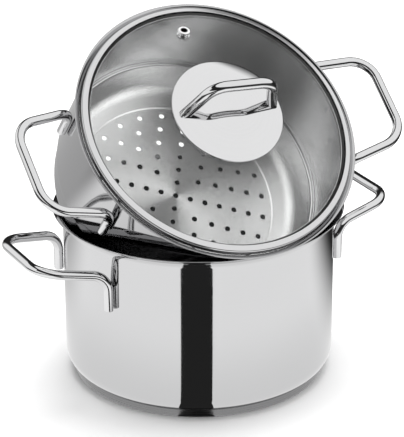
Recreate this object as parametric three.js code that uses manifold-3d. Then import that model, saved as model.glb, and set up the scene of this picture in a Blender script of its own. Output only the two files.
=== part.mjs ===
// A couscoussier: a deep pot, a perforated steamer insert and a glass lid.
// Units are millimetres, +Z is up, the rod handles lie along X and the steamer leans towards -Y.
// The origin is the middle of the pot's foot. The steamer, with its lid on, rests tipped in the pot's mouth.
import * as THREE from "three";
import { mergeVertices } from "three/addons/utils/BufferGeometryUtils.js";
import Module from "manifold-3d";

const wasm = await Module();
wasm.setup();

// Pot shell
const POT_RADIUS = 100;
const POT_HEIGHT = 129;
const POT_SHEET = 0.8;
const POT_CORNER = 13;
const POT_RIM_OVERHANG = 6.9;
const POT_RIM_RISE = 9;
const RIM_ANGLE = 75;

// Heat-spreading base
const BASE_HEIGHT = 4.7;
const BASE_INSET = 6.2;
const BASE_EDGE = 1.4;
const CAP_SHEET = 0.7;
const PRESS_GAP = 0.1;

// Bent rod handles of the pot and the steamer
const ROD_DIAMETER = 7;
const HANDLE_LEG_SPACING = 83;
const HANDLE_BAR_SPACING = 68.5;
const HANDLE_REACH = 49.6;
const HANDLE_RISE_ANGLE = 10.6;
const HANDLE_CORNER = 19.6;
const HANDLE_LEG_BEND = 14;
const HANDLE_LEG_LENGTH = 27;
const WELD_GAP = 0.3;
const POT_HANDLE_DROP = 22;
const STEAMER_HANDLE_DROP = 14.8;

// Steamer shell
const SHOULDER_OVERLAP = 1;
const STEAMER_DEPTH = 100.6;
const STEAMER_SHEET = 0.8;
const STEAMER_RIM_OVERHANG = 4.9;
const STEAMER_RIM_RISE = 8;
const STEP_DEPTH = 71.2;
const STEP_BEND = 1.6;
const SEAT_CLEARANCE = 2.2;
const STEAMER_CORNER = 12.8;
const FLOOR_DISC_RADIUS = 76.4;
const FLOOR_DISC_DROP = 0.6;
const HOLE_DIAMETER = 4;
const HOLE_PITCH = 11.54;
const HOLE_RINGS = 6;
const HOLE_TURN = -27.9;

// How the steamer leans in the pot
const LEAN_ANGLE = 40.4;
const LEAN_SHIFT = 0.295 * POT_RADIUS;
const REST_GAP = 0.3;

// Lid
const LID_INSET = 4.2;
const BAND_SHEET = 0.7;
const BAND_UPPER_LIP = 4.4;
const BAND_LOWER_LIP = 7.4;
const GLASS_THICKNESS = 4;
const DOME_HEIGHT = 23.2;
const LAYER_GAP = 0.3;
const PLATE_RADIUS = 41;
const PLATE_SHEET = 1;
const PLATE_RISE = 10.5;
const GASKET_RADIUS = 40.2;
const GASKET_WIDTH = 6;
const GASKET_THICKNESS = 0.8;
const LID_ROD_DIAMETER = 8;
const LID_HANDLE_FOOT_SPACING = 66;
const LID_HANDLE_BAR_SPACING = 44;
const LID_HANDLE_HEIGHT = 24.6;
const LID_HANDLE_BEND = 14;
const LID_HANDLE_TURN = -5;
const STUD_DIAMETER = 6;
const STUD_FLANGE_DIAMETER = 12;
const STUD_FLANGE_THICKNESS = 1.2;
const SLEEVE_WALL = 1.6;
const SEAL_DIAMETER = 20;
const SEAL_THICKNESS = 1.5;
const WASHER_DIAMETER = 18;
const WASHER_THICKNESS = 1.2;
const NUT_WIDTH = 10;
const NUT_HEIGHT = 5;
const NUT_CAP_HEIGHT = 3.4;
const VENT_DISTANCE = 75.4;
const VENT_BORE = 4.4;
const VENT_BARREL = 6;
const VENT_FLANGE = 9.6;
const VENT_RING_THICKNESS = 0.7;

// Facets
const ROUND = 44;
const SMALL_ROUND = 20;
const ROD_SIDES = 8;
const HOLE_SIDES = 6;

const radians = (degrees) => (degrees * Math.PI) / 180;

const MIRROR_STEEL = new THREE.MeshStandardMaterial({ color: 0xd6d7d9, roughness: 0.08, metalness: 1 });
const SATIN_STEEL = new THREE.MeshStandardMaterial({ color: 0xc9cacc, roughness: 0.35, metalness: 1 });
const ALUMINIUM = new THREE.MeshStandardMaterial({ color: 0xc2c4c8, roughness: 0.45, metalness: 1 });
const CLEAR_GLASS = new THREE.MeshStandardMaterial({
  color: 0xe6eceb,
  roughness: 0.03,
  metalness: 0,
  transparent: true,
  opacity: 0.35,
});
const SILICONE = new THREE.MeshStandardMaterial({ color: 0xd9d9d6, roughness: 0.7, metalness: 0 });

// A solid of revolution about Z. The outline runs anticlockwise in (radius, height).
function revolve(outline, segments = ROUND) {
  const points = outline.map(([radius, height]) => new THREE.Vector2(radius, height));
  const geometry = new THREE.LatheGeometry(points, segments);
  geometry.rotateX(Math.PI / 2);
  return geometry;
}

// A line moved sideways to its left by a sheet's thickness, with mitred corners.
function offsetLine(line, distance) {
  const normals = [];
  for (let i = 0; i + 1 < line.length; i += 1) {
    const dx = line[i + 1][0] - line[i][0];
    const dy = line[i + 1][1] - line[i][1];
    const length = Math.hypot(dx, dy);
    normals.push([-dy / length, dx / length]);
  }
  return line.map(([x, y], i) => {
    const before = normals[Math.max(i - 1, 0)];
    const after = normals[Math.min(i, normals.length - 1)];
    const scale = distance / (1 + before[0] * after[0] + before[1] * after[1]);
    return [x + (before[0] + after[0]) * scale, y + (before[1] + after[1]) * scale];
  });
}

// A drawn sheet: the outside line from the axis to the lip, and the same line moved inwards.
function sheet(outside, thickness) {
  return [...outside, ...offsetLine(outside, thickness).reverse()];
}

// Points of an arc, angles in degrees.
function arc(centre, radius, from, to, steps) {
  const points = [];
  for (let i = 0; i <= steps; i += 1) {
    const angle = radians(from + ((to - from) * i) / steps);
    points.push([centre[0] + radius * Math.cos(angle), centre[1] + radius * Math.sin(angle)]);
  }
  return points;
}

// The outside of a flared pouring rim, from the straight wall to the lip.
function flare(wallRadius, lipHeight, overhang, rise, thickness) {
  const last = radians(RIM_ANGLE);
  const climb = rise - thickness * Math.sin(last);
  const points = [];
  for (let i = 0; i <= 5; i += 1) {
    const angle = (last * i) / 5;
    const out = (1 - Math.cos(angle)) / (1 - Math.cos(last));
    points.push([wallRadius + overhang * out, lipHeight - rise + (climb * Math.sin(angle)) / Math.sin(last)]);
  }
  return points;
}

const POT_FLARE = flare(POT_RADIUS, POT_HEIGHT, POT_RIM_OVERHANG, POT_RIM_RISE, POT_SHEET);

const POT_OUTSIDE = [
  [0, BASE_HEIGHT],
  ...arc([POT_RADIUS - POT_CORNER, BASE_HEIGHT + POT_CORNER], POT_CORNER, -90, 0, 5),
  ...POT_FLARE,
];

// The steamer's own frame has its lip at height 0 and its floor below.
const STEAMER_RADIUS = POT_RADIUS - POT_SHEET + SHOULDER_OVERLAP;
const SEAT_RADIUS = POT_RADIUS - POT_SHEET - SEAT_CLEARANCE;

const STEAMER_OUTSIDE = [
  [0, -STEAMER_DEPTH - FLOOR_DISC_DROP],
  [FLOOR_DISC_RADIUS - 0.5, -STEAMER_DEPTH - FLOOR_DISC_DROP],
  [FLOOR_DISC_RADIUS + 0.5, -STEAMER_DEPTH],
  ...arc([SEAT_RADIUS - STEAMER_CORNER, STEAMER_CORNER - STEAMER_DEPTH], STEAMER_CORNER, -90, 0, 5),
  [SEAT_RADIUS, -STEP_DEPTH - 0.5],
  [SEAT_RADIUS + 0.5, -STEP_DEPTH],
  [STEAMER_RADIUS - STEP_BEND, -STEP_DEPTH],
  [STEAMER_RADIUS - 0.3 * STEP_BEND, -STEP_DEPTH + 0.3 * STEP_BEND],
  [STEAMER_RADIUS, -STEP_DEPTH + STEP_BEND],
  ...flare(STEAMER_RADIUS, 0, STEAMER_RIM_OVERHANG, STEAMER_RIM_RISE, STEAMER_SHEET),
];

// Height on a rising line at a given radius.
function heightAt(line, radius) {
  for (let i = 0; i + 1 < line.length; i += 1) {
    const [r0, h0] = line[i];
    const [r1, h1] = line[i + 1];
    if (radius <= r1) {
      return h0 + ((h1 - h0) * (radius - r0)) / (r1 - r0);
    }
  }
  return line[line.length - 1][1];
}

// How high the tipped steamer's lip centre stands so that its outside just clears the pot's flared mouth,
// which is taken at the flats of its facets.
function restingHeight() {
  const mouth = offsetLine(POT_OUTSIDE, POT_SHEET).slice(-POT_FLARE.length);
  const lip = POT_RADIUS + POT_RIM_OVERHANG;
  const lean = radians(LEAN_ANGLE);
  let height = 0;
  for (let i = 0; i + 1 < STEAMER_OUTSIDE.length; i += 1) {
    for (let part = 0; part < 20; part += 1) {
      const radius = THREE.MathUtils.lerp(STEAMER_OUTSIDE[i][0], STEAMER_OUTSIDE[i + 1][0], part / 20);
      const depth = THREE.MathUtils.lerp(STEAMER_OUTSIDE[i][1], STEAMER_OUTSIDE[i + 1][1], part / 20);
      for (let turn = -90; turn <= 90; turn += 0.5) {
        const along = radius * Math.sin(radians(turn));
        const y = along * Math.cos(lean) - depth * Math.sin(lean) - LEAN_SHIFT;
        const z = along * Math.sin(lean) + depth * Math.cos(lean);
        const reach = Math.hypot(radius * Math.cos(radians(turn)), y);
        const flat = reach / Math.cos(Math.PI / ROUND);
        if (flat >= mouth[0][0] && reach <= lip) {
          height = Math.max(height, heightAt(mouth, flat) - z);
        }
      }
    }
  }
  return height + REST_GAP;
}

// A path of straight rods joined by round bends, sampled at the ends of its bends and along them.
class RodPath extends THREE.Curve {
  constructor(corners, bends, bendSteps) {
    super();
    this.points = [corners[0]];
    this.tangents = [corners[1].clone().sub(corners[0]).normalize()];
    for (let i = 1; i + 1 < corners.length; i += 1) {
      const into = corners[i].clone().sub(corners[i - 1]).normalize();
      const out = corners[i + 1].clone().sub(corners[i]).normalize();
      const turn = into.angleTo(out);
      const start = corners[i].clone().addScaledVector(into, -bends[i - 1] * Math.tan(turn / 2));
      const inward = out.clone().addScaledVector(into, -out.dot(into)).normalize();
      for (let k = 0; k <= bendSteps; k += 1) {
        const angle = (turn * k) / bendSteps;
        const point = start.clone().addScaledVector(into, bends[i - 1] * Math.sin(angle));
        this.points.push(point.addScaledVector(inward, bends[i - 1] * (1 - Math.cos(angle))));
        const along = into.clone().multiplyScalar(Math.cos(angle));
        this.tangents.push(along.addScaledVector(inward, Math.sin(angle)).normalize());
      }
    }
    this.points.push(corners[corners.length - 1]);
    this.tangents.push(lastDirection(corners));
    this.steps = this.points.length - 1;
  }

  getPointAt(u, target = new THREE.Vector3()) {
    return target.copy(this.points[Math.round(u * this.steps)]);
  }

  getTangentAt(u, target = new THREE.Vector3()) {
    return target.copy(this.tangents[Math.round(u * this.steps)]);
  }
}

// Direction of a path's last straight.
function lastDirection(corners) {
  const last = corners.length - 1;
  return corners[last].clone().sub(corners[last - 1]).normalize();
}

// A round rod along a path.
function rod(path, diameter) {
  const section = new THREE.Shape();
  for (let i = 0; i < ROD_SIDES; i += 1) {
    const angle = (2 * Math.PI * i) / ROD_SIDES;
    const point = [(diameter / 2) * Math.cos(angle), (diameter / 2) * Math.sin(angle)];
    if (i === 0) {
      section.moveTo(point[0], point[1]);
    } else {
      section.lineTo(point[0], point[1]);
    }
  }
  section.closePath();
  return new THREE.ExtrudeGeometry(section, { steps: path.steps, extrudePath: path, bevelEnabled: false });
}

// A loop handle: two upright legs on a round wall, arms that rise outwards and a bar across them.
function loopHandle(wallRadius, armHeight, side) {
  const legY = HANDLE_LEG_SPACING / 2;
  const barY = HANDLE_BAR_SPACING / 2;
  const legX = Math.sqrt((wallRadius + ROD_DIAMETER / 2 + WELD_GAP) ** 2 - legY ** 2);
  const barX = legX + HANDLE_REACH;
  const barZ = armHeight + HANDLE_REACH * Math.tan(radians(HANDLE_RISE_ANGLE));
  const corners = [
    [legX, -legY, armHeight - HANDLE_LEG_LENGTH],
    [legX, -legY, armHeight],
    [barX, -barY, barZ],
    [barX, barY, barZ],
    [legX, legY, armHeight],
    [legX, legY, armHeight - HANDLE_LEG_LENGTH],
  ].map(([x, y, z]) => new THREE.Vector3(side * x, side * y, z));
  const bends = [HANDLE_LEG_BEND, HANDLE_CORNER, HANDLE_CORNER, HANDLE_LEG_BEND];
  return rod(new RodPath(corners, bends, 5), ROD_DIAMETER);
}

// Between three.js geometry and closed solids that can be cut.
function solid(geometry) {
  const bare = geometry.clone();
  bare.deleteAttribute("normal");
  bare.deleteAttribute("uv");
  const merged = mergeVertices(bare, 1e-4);
  const index = merged.index.array;
  const kept = [];
  for (let i = 0; i < index.length; i += 3) {
    const [a, b, c] = [index[i], index[i + 1], index[i + 2]];
    if (a !== b && b !== c && c !== a) {
      kept.push(a, b, c);
    }
  }
  const mesh = new wasm.Mesh({
    numProp: 3,
    vertProperties: new Float32Array(merged.attributes.position.array),
    triVerts: new Uint32Array(kept),
  });
  return new wasm.Manifold(mesh);
}

function geometryOf(manifold) {
  const mesh = manifold.getMesh();
  const geometry = new THREE.BufferGeometry();
  geometry.setAttribute("position", new THREE.BufferAttribute(new Float32Array(mesh.vertProperties), 3));
  geometry.setIndex(new THREE.BufferAttribute(new Uint32Array(mesh.triVerts), 1));
  geometry.computeVertexNormals();
  return geometry;
}

// A drill along Z.
function drill(diameter, length, sides) {
  const geometry = new THREE.CylinderGeometry(diameter / 2, diameter / 2, length, sides);
  geometry.rotateX(Math.PI / 2);
  return geometry;
}

function named(name, geometry, material) {
  const mesh = new THREE.Mesh(geometry, material);
  mesh.name = name;
  return mesh;
}

// Pot: shell, aluminium disc, stainless capsule and two handles.
const couscoussier = new THREE.Group();
couscoussier.name = "couscoussier";
couscoussier.add(named("pot_body", revolve(sheet(POT_OUTSIDE, POT_SHEET)), MIRROR_STEEL));

const BASE_RADIUS = POT_RADIUS - BASE_INSET;
const coreRadius = BASE_RADIUS - CAP_SHEET - PRESS_GAP;
const coreLow = CAP_SHEET + PRESS_GAP;
const coreTop = BASE_HEIGHT - PRESS_GAP;
const coreOutline = [
  [0, coreLow],
  [coreRadius - BASE_EDGE, coreLow],
  [coreRadius, coreLow + BASE_EDGE],
  [coreRadius, coreTop],
  [0, coreTop],
];
couscoussier.add(named("pot_base_core", revolve(coreOutline), ALUMINIUM));

const capOutside = [
  [0, 0],
  ...arc([BASE_RADIUS - BASE_EDGE, BASE_EDGE], BASE_EDGE, -90, 0, 3),
  [BASE_RADIUS, heightAt(POT_OUTSIDE, BASE_RADIUS - CAP_SHEET) - PRESS_GAP],
];
couscoussier.add(named("pot_base_cap", revolve(sheet(capOutside, CAP_SHEET)), SATIN_STEEL));

const potArm = POT_HEIGHT - POT_HANDLE_DROP;
couscoussier.add(named("pot_handle_left", loopHandle(POT_RADIUS, potArm, -1), MIRROR_STEEL));
couscoussier.add(named("pot_handle_right", loopHandle(POT_RADIUS, potArm, 1), MIRROR_STEEL));

// Steamer: perforated shell and two handles, tipped as one unit with the lid.
const steamer = new THREE.Group();
steamer.name = "steamer";
steamer.position.set(0, -LEAN_SHIFT, restingHeight());
steamer.rotation.x = radians(LEAN_ANGLE);
couscoussier.add(steamer);

let steamerBody = solid(revolve(sheet(STEAMER_OUTSIDE, STEAMER_SHEET)));
const holes = [];
for (let ring = 0; ring <= HOLE_RINGS; ring += 1) {
  const count = Math.max(1, 4 * ring);
  for (let i = 0; i < count; i += 1) {
    const angle = radians(HOLE_TURN + (360 * i) / count);
    const bit = drill(HOLE_DIAMETER, 6, HOLE_SIDES);
    bit.translate(ring * HOLE_PITCH * Math.cos(angle), ring * HOLE_PITCH * Math.sin(angle), -STEAMER_DEPTH);
    holes.push(solid(bit));
  }
}
steamerBody = holes.reduce((body, hole) => body.subtract(hole), steamerBody);
steamer.add(named("steamer_body", geometryOf(steamerBody), MIRROR_STEEL));

steamer.add(named("steamer_handle_left", loopHandle(STEAMER_RADIUS, -STEAMER_HANDLE_DROP, -1), MIRROR_STEEL));
steamer.add(named("steamer_handle_right", loopHandle(STEAMER_RADIUS, -STEAMER_HANDLE_DROP, 1), MIRROR_STEEL));

// Lid: the steel band seats in the steamer's flared mouth and holds the edge of the glass.
const lid = new THREE.Group();
lid.name = "lid";
steamer.add(lid);

const bandRadius = STEAMER_RADIUS + STEAMER_RIM_OVERHANG - LID_INSET;
const seatLine = offsetLine(STEAMER_OUTSIDE, STEAMER_SHEET).slice(-6);
const bandSeat = heightAt(seatLine, bandRadius) + REST_GAP;
const glassRadius = bandRadius - BAND_SHEET - LAYER_GAP;
const glassEdge = bandSeat + GLASS_THICKNESS - 0.2;
const studHole = STUD_DIAMETER / 2 + SLEEVE_WALL + 2 * LAYER_GAP;
const ventHole = VENT_BARREL / 2 + LAYER_GAP;

// The top of the glass dome, and surfaces parallel to it.
const domeSlope = (radius) => (2 * DOME_HEIGHT * radius) / glassRadius ** 2;
const dome = (radius, lift) => {
  const top = glassEdge + DOME_HEIGHT * (1 - (radius / glassRadius) ** 2);
  return top + lift * Math.sqrt(1 + domeSlope(radius) ** 2);
};

// A shell on a domed surface, between two radii and two lifts above it.
function domeShell(surface, inner, outer, low, high, steps) {
  const below = [];
  const above = [];
  for (let i = 0; i <= steps; i += 1) {
    const radius = THREE.MathUtils.lerp(inner, outer, i / steps);
    below.push([radius, surface(radius, low)]);
    above.unshift([radius, surface(radius, high)]);
  }
  const outline = [...below, ...above];
  return inner > 0 ? [...outline, outline[0]] : outline;
}

const ventSlope = Math.atan(domeSlope(VENT_DISTANCE));
const placeOnVent = (geometry) => {
  geometry.rotateX(-ventSlope);
  return geometry.translate(0, VENT_DISTANCE, dome(VENT_DISTANCE, 0));
};
const glass = solid(revolve(domeShell(dome, studHole, glassRadius, -GLASS_THICKNESS, 0, 7)));
const ventDrill = solid(placeOnVent(drill(2 * ventHole, 4 * GLASS_THICKNESS, SMALL_ROUND)));
lid.add(named("lid_glass", geometryOf(glass.subtract(ventDrill)), CLEAR_GLASS));

const underGlass = -GLASS_THICKNESS - LAYER_GAP;
const lipIn = bandRadius - BAND_UPPER_LIP;
const lowIn = bandRadius - BAND_LOWER_LIP;
const insideWall = bandRadius - BAND_SHEET;
const bandOutline = [
  [lowIn, dome(lowIn, underGlass - BAND_SHEET)],
  [bandRadius - 1.2, dome(bandRadius - 1.2, underGlass - BAND_SHEET)],
  [bandRadius, bandSeat],
  [bandRadius, dome(bandRadius, LAYER_GAP)],
  [bandRadius - 0.6, dome(bandRadius - 0.6, LAYER_GAP + BAND_SHEET)],
  [lipIn, dome(lipIn, LAYER_GAP + BAND_SHEET)],
  [lipIn, dome(lipIn, LAYER_GAP)],
  [insideWall, dome(insideWall, LAYER_GAP)],
  [insideWall, dome(insideWall, underGlass)],
  [lowIn, dome(lowIn, underGlass)],
];
lid.add(named("lid_band", revolve([...bandOutline, bandOutline[0]]), MIRROR_STEEL));

// Vent: a flanged eyelet through the glass, spread over a ring underneath.
const flangeEdge = VENT_FLANGE / 2;
const boreEdge = VENT_BORE / 2;
const ringTop = underGlass - 0.1;
const ringLow = ringTop - VENT_RING_THICKNESS;
const eyeletOutline = [
  [boreEdge, ringLow - LAYER_GAP - 0.6],
  [ventHole + 0.5, ringLow - LAYER_GAP - 0.6],
  [ventHole + 0.5, ringLow - LAYER_GAP],
  [VENT_BARREL / 2, ringLow - LAYER_GAP],
  [VENT_BARREL / 2, LAYER_GAP],
  [flangeEdge, LAYER_GAP],
  [flangeEdge, LAYER_GAP + 0.5],
  [flangeEdge - 0.6, LAYER_GAP + 1.1],
  [boreEdge + 0.6, LAYER_GAP + 1.1],
  [boreEdge, LAYER_GAP + 0.5],
];
const eyelet = revolve([...eyeletOutline, eyeletOutline[0]], SMALL_ROUND);
lid.add(named("lid_vent_eyelet", placeOnVent(eyelet), MIRROR_STEEL));

function flatRing(inner, outer, low, top) {
  const outline = [
    [inner, low],
    [outer, low],
    [outer, top],
    [inner, top],
  ];
  return revolve([...outline, outline[0]], SMALL_ROUND);
}

const ventRing = flatRing(ventHole, flangeEdge, ringLow, ringTop);
lid.add(named("lid_vent_washer", placeOnVent(ventRing), SATIN_STEEL));

// A soft ring lies on the glass under the rim of the plate, whose middle is domed more than the glass.
const gasketTop = LAYER_GAP + GASKET_THICKNESS;
const gasketOutline = domeShell(dome, GASKET_RADIUS - GASKET_WIDTH, GASKET_RADIUS, LAYER_GAP, gasketTop, 2);
lid.add(named("lid_gasket", revolve(gasketOutline), SILICONE));
const plateEdge = dome(PLATE_RADIUS, gasketTop + LAYER_GAP);
const plate = (radius, lift) => plateEdge + PLATE_RISE * (1 - (radius / PLATE_RADIUS) ** 2) + lift;
lid.add(named("lid_plate", revolve(domeShell(plate, 0, PLATE_RADIUS, 0, PLATE_SHEET, 6)), MIRROR_STEEL));

// Bridge handle: its feet are cut to the plate.
const footX = LID_HANDLE_FOOT_SPACING / 2;
const barX = LID_HANDLE_BAR_SPACING / 2;
const footZ = plate(footX, PLATE_SHEET);
const barZ = plate(0, PLATE_SHEET) + LID_HANDLE_HEIGHT;
const splay = (footX - barX) / (barZ - footZ);
const bridgeCorners = [
  [-footX - 3 * splay, footZ - 3],
  [-barX, barZ],
  [barX, barZ],
  [footX + 3 * splay, footZ - 3],
].map(([x, z]) => new THREE.Vector3(x, 0, z));
const bridge = rod(new RodPath(bridgeCorners, [LID_HANDLE_BEND, LID_HANDLE_BEND], 6), LID_ROD_DIAMETER);
bridge.rotateZ(radians(LID_HANDLE_TURN));
const footCut = domeShell(plate, 0, PLATE_RADIUS + LID_ROD_DIAMETER, -20, PLATE_SHEET + LAYER_GAP, 8);
lid.add(named("lid_handle", geometryOf(solid(bridge).subtract(solid(revolve(footCut)))), MIRROR_STEEL));

// Central fixing: a flanged stud under the plate, a sleeve in the glass, a soft seal, a washer and a cap nut.
const fixingBore = STUD_DIAMETER / 2 + LAYER_GAP;
const flangeTop = plate(STUD_FLANGE_DIAMETER / 2, 0) - LAYER_GAP;
const flangeLow = flangeTop - STUD_FLANGE_THICKNESS;
const sleeveTop = dome(studHole, 0) - 0.1;
const sleeveLow = dome(studHole, -GLASS_THICKNESS);
const sealTop = dome(SEAL_DIAMETER / 2, -GLASS_THICKNESS) - LAYER_GAP;
const sealLow = sealTop - SEAL_THICKNESS;
const washerTop = sealLow - LAYER_GAP;
const washerLow = washerTop - WASHER_THICKNESS;
const nutTop = washerLow - LAYER_GAP;
const nutLow = nutTop - NUT_HEIGHT;

const studOutline = [
  [0, nutLow],
  [STUD_DIAMETER / 2, nutLow],
  [STUD_DIAMETER / 2, flangeLow],
  [STUD_FLANGE_DIAMETER / 2, flangeLow],
  [STUD_FLANGE_DIAMETER / 2, flangeTop],
  [0, flangeTop],
];
lid.add(named("lid_stud", revolve(studOutline, SMALL_ROUND), SATIN_STEEL));
const sleeve = flatRing(fixingBore, fixingBore + SLEEVE_WALL, sleeveLow, sleeveTop);
lid.add(named("lid_sleeve", sleeve, SILICONE));
lid.add(named("lid_seal", flatRing(fixingBore, SEAL_DIAMETER / 2, sealLow, sealTop), SILICONE));
lid.add(named("lid_washer", flatRing(fixingBore, WASHER_DIAMETER / 2, washerLow, washerTop), SATIN_STEEL));

const nutBlock = new THREE.CylinderGeometry(NUT_WIDTH / Math.sqrt(3), NUT_WIDTH / Math.sqrt(3), NUT_HEIGHT, 6);
nutBlock.rotateX(Math.PI / 2);
nutBlock.translate(0, 0, (nutTop + nutLow) / 2);
const capRadius = 0.48 * NUT_WIDTH;
const capOutline = [
  [0, nutLow - NUT_CAP_HEIGHT],
  [0.6 * capRadius, nutLow - 0.8 * NUT_CAP_HEIGHT],
  [capRadius, nutLow],
  [capRadius, nutLow + 1],
  [0, nutLow + 1],
];
const nutCap = solid(revolve(capOutline, SMALL_ROUND));
const nutBore = drill(2 * fixingBore, NUT_HEIGHT + 2, SMALL_ROUND);
nutBore.translate(0, 0, nutLow - LAYER_GAP + 1 + NUT_HEIGHT / 2);
const nut = solid(nutBlock).add(nutCap).subtract(solid(nutBore));
lid.add(named("lid_nut", geometryOf(nut), MIRROR_STEEL));

export default couscoussier;
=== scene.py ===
# A couscoussier in a white studio: a deep polished pot, a perforated steamer leaning in the pot's mouth,
# and a glass lid. All of it is in the part's own frame: Z up, X along the handles. Pieces are drawn in
# millimetres, the studio in metres.
import math

import bmesh
import bpy
import numpy as np
from mathutils import Matrix
from mathutils.geometry import delaunay_2d_cdt


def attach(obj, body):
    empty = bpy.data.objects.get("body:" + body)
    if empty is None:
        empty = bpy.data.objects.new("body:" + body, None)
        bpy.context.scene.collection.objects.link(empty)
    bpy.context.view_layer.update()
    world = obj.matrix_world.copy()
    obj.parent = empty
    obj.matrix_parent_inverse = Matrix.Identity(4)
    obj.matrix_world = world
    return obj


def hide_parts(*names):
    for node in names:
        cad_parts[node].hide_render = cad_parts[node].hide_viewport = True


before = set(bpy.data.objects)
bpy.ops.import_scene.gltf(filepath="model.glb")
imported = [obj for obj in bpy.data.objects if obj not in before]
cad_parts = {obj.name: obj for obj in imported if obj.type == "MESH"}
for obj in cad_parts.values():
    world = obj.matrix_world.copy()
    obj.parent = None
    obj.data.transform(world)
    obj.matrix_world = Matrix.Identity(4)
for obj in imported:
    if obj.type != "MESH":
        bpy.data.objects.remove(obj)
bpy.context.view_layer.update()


# Pot shell. One deep-drawn stainless sheet with a straight wall, a rounded bottom corner and a flared
# pouring rim. It is buffed to a mirror on a lathe, which leaves faint lines round the wall.
def arc(centre, radius, start, end, count=14):
    """Arc: centre + radius (cos a, sin a), with a from start to end in degrees."""
    a = np.radians(np.linspace(start, end, count))
    return np.stack([centre[0] + radius * np.cos(a), centre[1] + radius * np.sin(a)], 1)


def flared(wall, lip, overhang, rise, sweep=75, count=20):
    """Flared rim: a runs from 0 to the sweep in degrees, the radius is wall + overhang (1 - cos a) / (1 - cos
    sweep) and the height lip - rise + rise sin a / sin sweep."""
    a, end = np.radians(np.linspace(0, sweep, count)), math.radians(sweep)
    radius = wall + overhang * (1 - np.cos(a)) / (1 - math.cos(end))
    return np.stack([radius, lip - rise + rise * np.sin(a) / math.sin(end)], 1)


def outline_of(*parts):
    """Corners and arcs as one line. Each straight over 1 mm gets a point 0.1 mm from both its ends, so that
    smooth shading stays flat between them."""
    line = np.concatenate([np.atleast_2d(np.asarray(part, float)) for part in parts])
    step = np.diff(line, axis=0)
    length = np.linalg.norm(step, axis=1)
    straight = np.flatnonzero(length > 1)
    nudge = 0.1 * step[straight] / length[straight, None]
    guards = np.stack([line[straight] + nudge, line[straight + 1] - nudge], 1).reshape(-1, 2)
    return np.insert(line, np.repeat(straight + 1, 2), guards, axis=0)


def bent_sheet(outside, thickness):
    """Outline of a sheet: the outside line, a half-round lip at its end, and the line moved along its left
    normal by the thickness and walked back. Its start keeps its radius, so that a pole closes."""
    step = np.diff(outside, axis=0)
    step /= np.linalg.norm(step, axis=1)[:, None]
    along = np.vstack([step[:1], step[:-1] + step[1:], step[-1:]])
    along /= np.linalg.norm(along, axis=1)[:, None]
    left = np.stack([-along[:, 1], along[:, 0]], 1)
    half = np.radians(np.linspace(0, 180, 12)[1:-1])[:, None]
    middle = outside[-1] + thickness / 2 * left[-1]
    lip = middle + thickness / 2 * (np.sin(half) * along[-1] - np.cos(half) * left[-1])
    back = outside + thickness * left
    back[0, 0] = outside[0, 0]
    return np.concatenate([outside, lip, back[::-1]])


def quads(rows, columns, closed):
    """Faces of a grid that is joined round its columns, and round its rows too if it is closed."""
    i = np.arange(rows if closed else rows - 1)[:, None]
    j = np.arange(columns)[None, :]
    i2, j2 = (i + 1) % rows, (j + 1) % columns
    corners = [i * columns + j, i * columns + j2, i2 * columns + j2, i2 * columns + j]
    return np.stack([c + 0 * (i + j) for c in corners], 2).reshape(-1, 4)


round_steps = 256


def turned(outline, closed=False, count=round_steps):
    """Surface of revolution: point (r, h) of the outline at turn t is (r cos t, r sin t, h)."""
    t = np.linspace(0, 2 * np.pi, count, endpoint=False)
    r, h = outline[:, :1], outline[:, 1:]
    points = np.stack([r * np.cos(t), r * np.sin(t), h + 0 * t], 2).reshape(-1, 3)
    return points, quads(len(outline), count, closed)


def make_piece(name, points, faces, material, inside=None):
    """One object from arrays in millimetres: points that meet are joined, and faces are shaded smooth up to
    an angle of 50 degrees between them. A sheet also carries a value that is 1 on its inside."""
    mesh = bpy.data.meshes.new(name)
    mesh.from_pydata((np.asarray(points) * 0.001).tolist(), [], [list(map(int, face)) for face in faces])
    if inside is not None:
        mesh.attributes.new("inside", "FLOAT", "POINT").data.foreach_set("value", np.asarray(inside, float))
    work = bmesh.new()
    work.from_mesh(mesh)
    bmesh.ops.remove_doubles(work, verts=work.verts, dist=1e-6)
    work.to_mesh(mesh)
    work.free()
    mesh.validate()
    mesh.shade_smooth()
    mesh.set_sharp_from_angle(angle=math.radians(50))
    mesh.materials.append(material)
    piece = bpy.data.objects.new(name, mesh)
    bpy.context.collection.objects.link(piece)
    return piece


def node(tree, kind, inputs=None, **settings):
    """A shader node: settings are its own properties, inputs are values to set or sockets to join."""
    made = tree.nodes.new(kind if kind.startswith("NodeGroup") else "ShaderNode" + kind)
    for key, value in settings.items():
        setattr(made, key, value)
    for key, value in (inputs or {}).items():
        if isinstance(value, bpy.types.NodeSocket):
            tree.links.new(value, made.inputs[key])
        else:
            made.inputs[key].default_value = value
    return made


def node_group(name, inputs, outputs):
    """An empty node group with its sockets, and the node that holds its inputs."""
    group = bpy.data.node_groups.new(name, "ShaderNodeTree")
    for side, sockets in (("INPUT", inputs), ("OUTPUT", outputs)):
        for label, kind in sockets.items():
            group.interface.new_socket(label, in_out=side, socket_type="NodeSocket" + kind)
    return group, node(group, "NodeGroupInput").outputs


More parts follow.
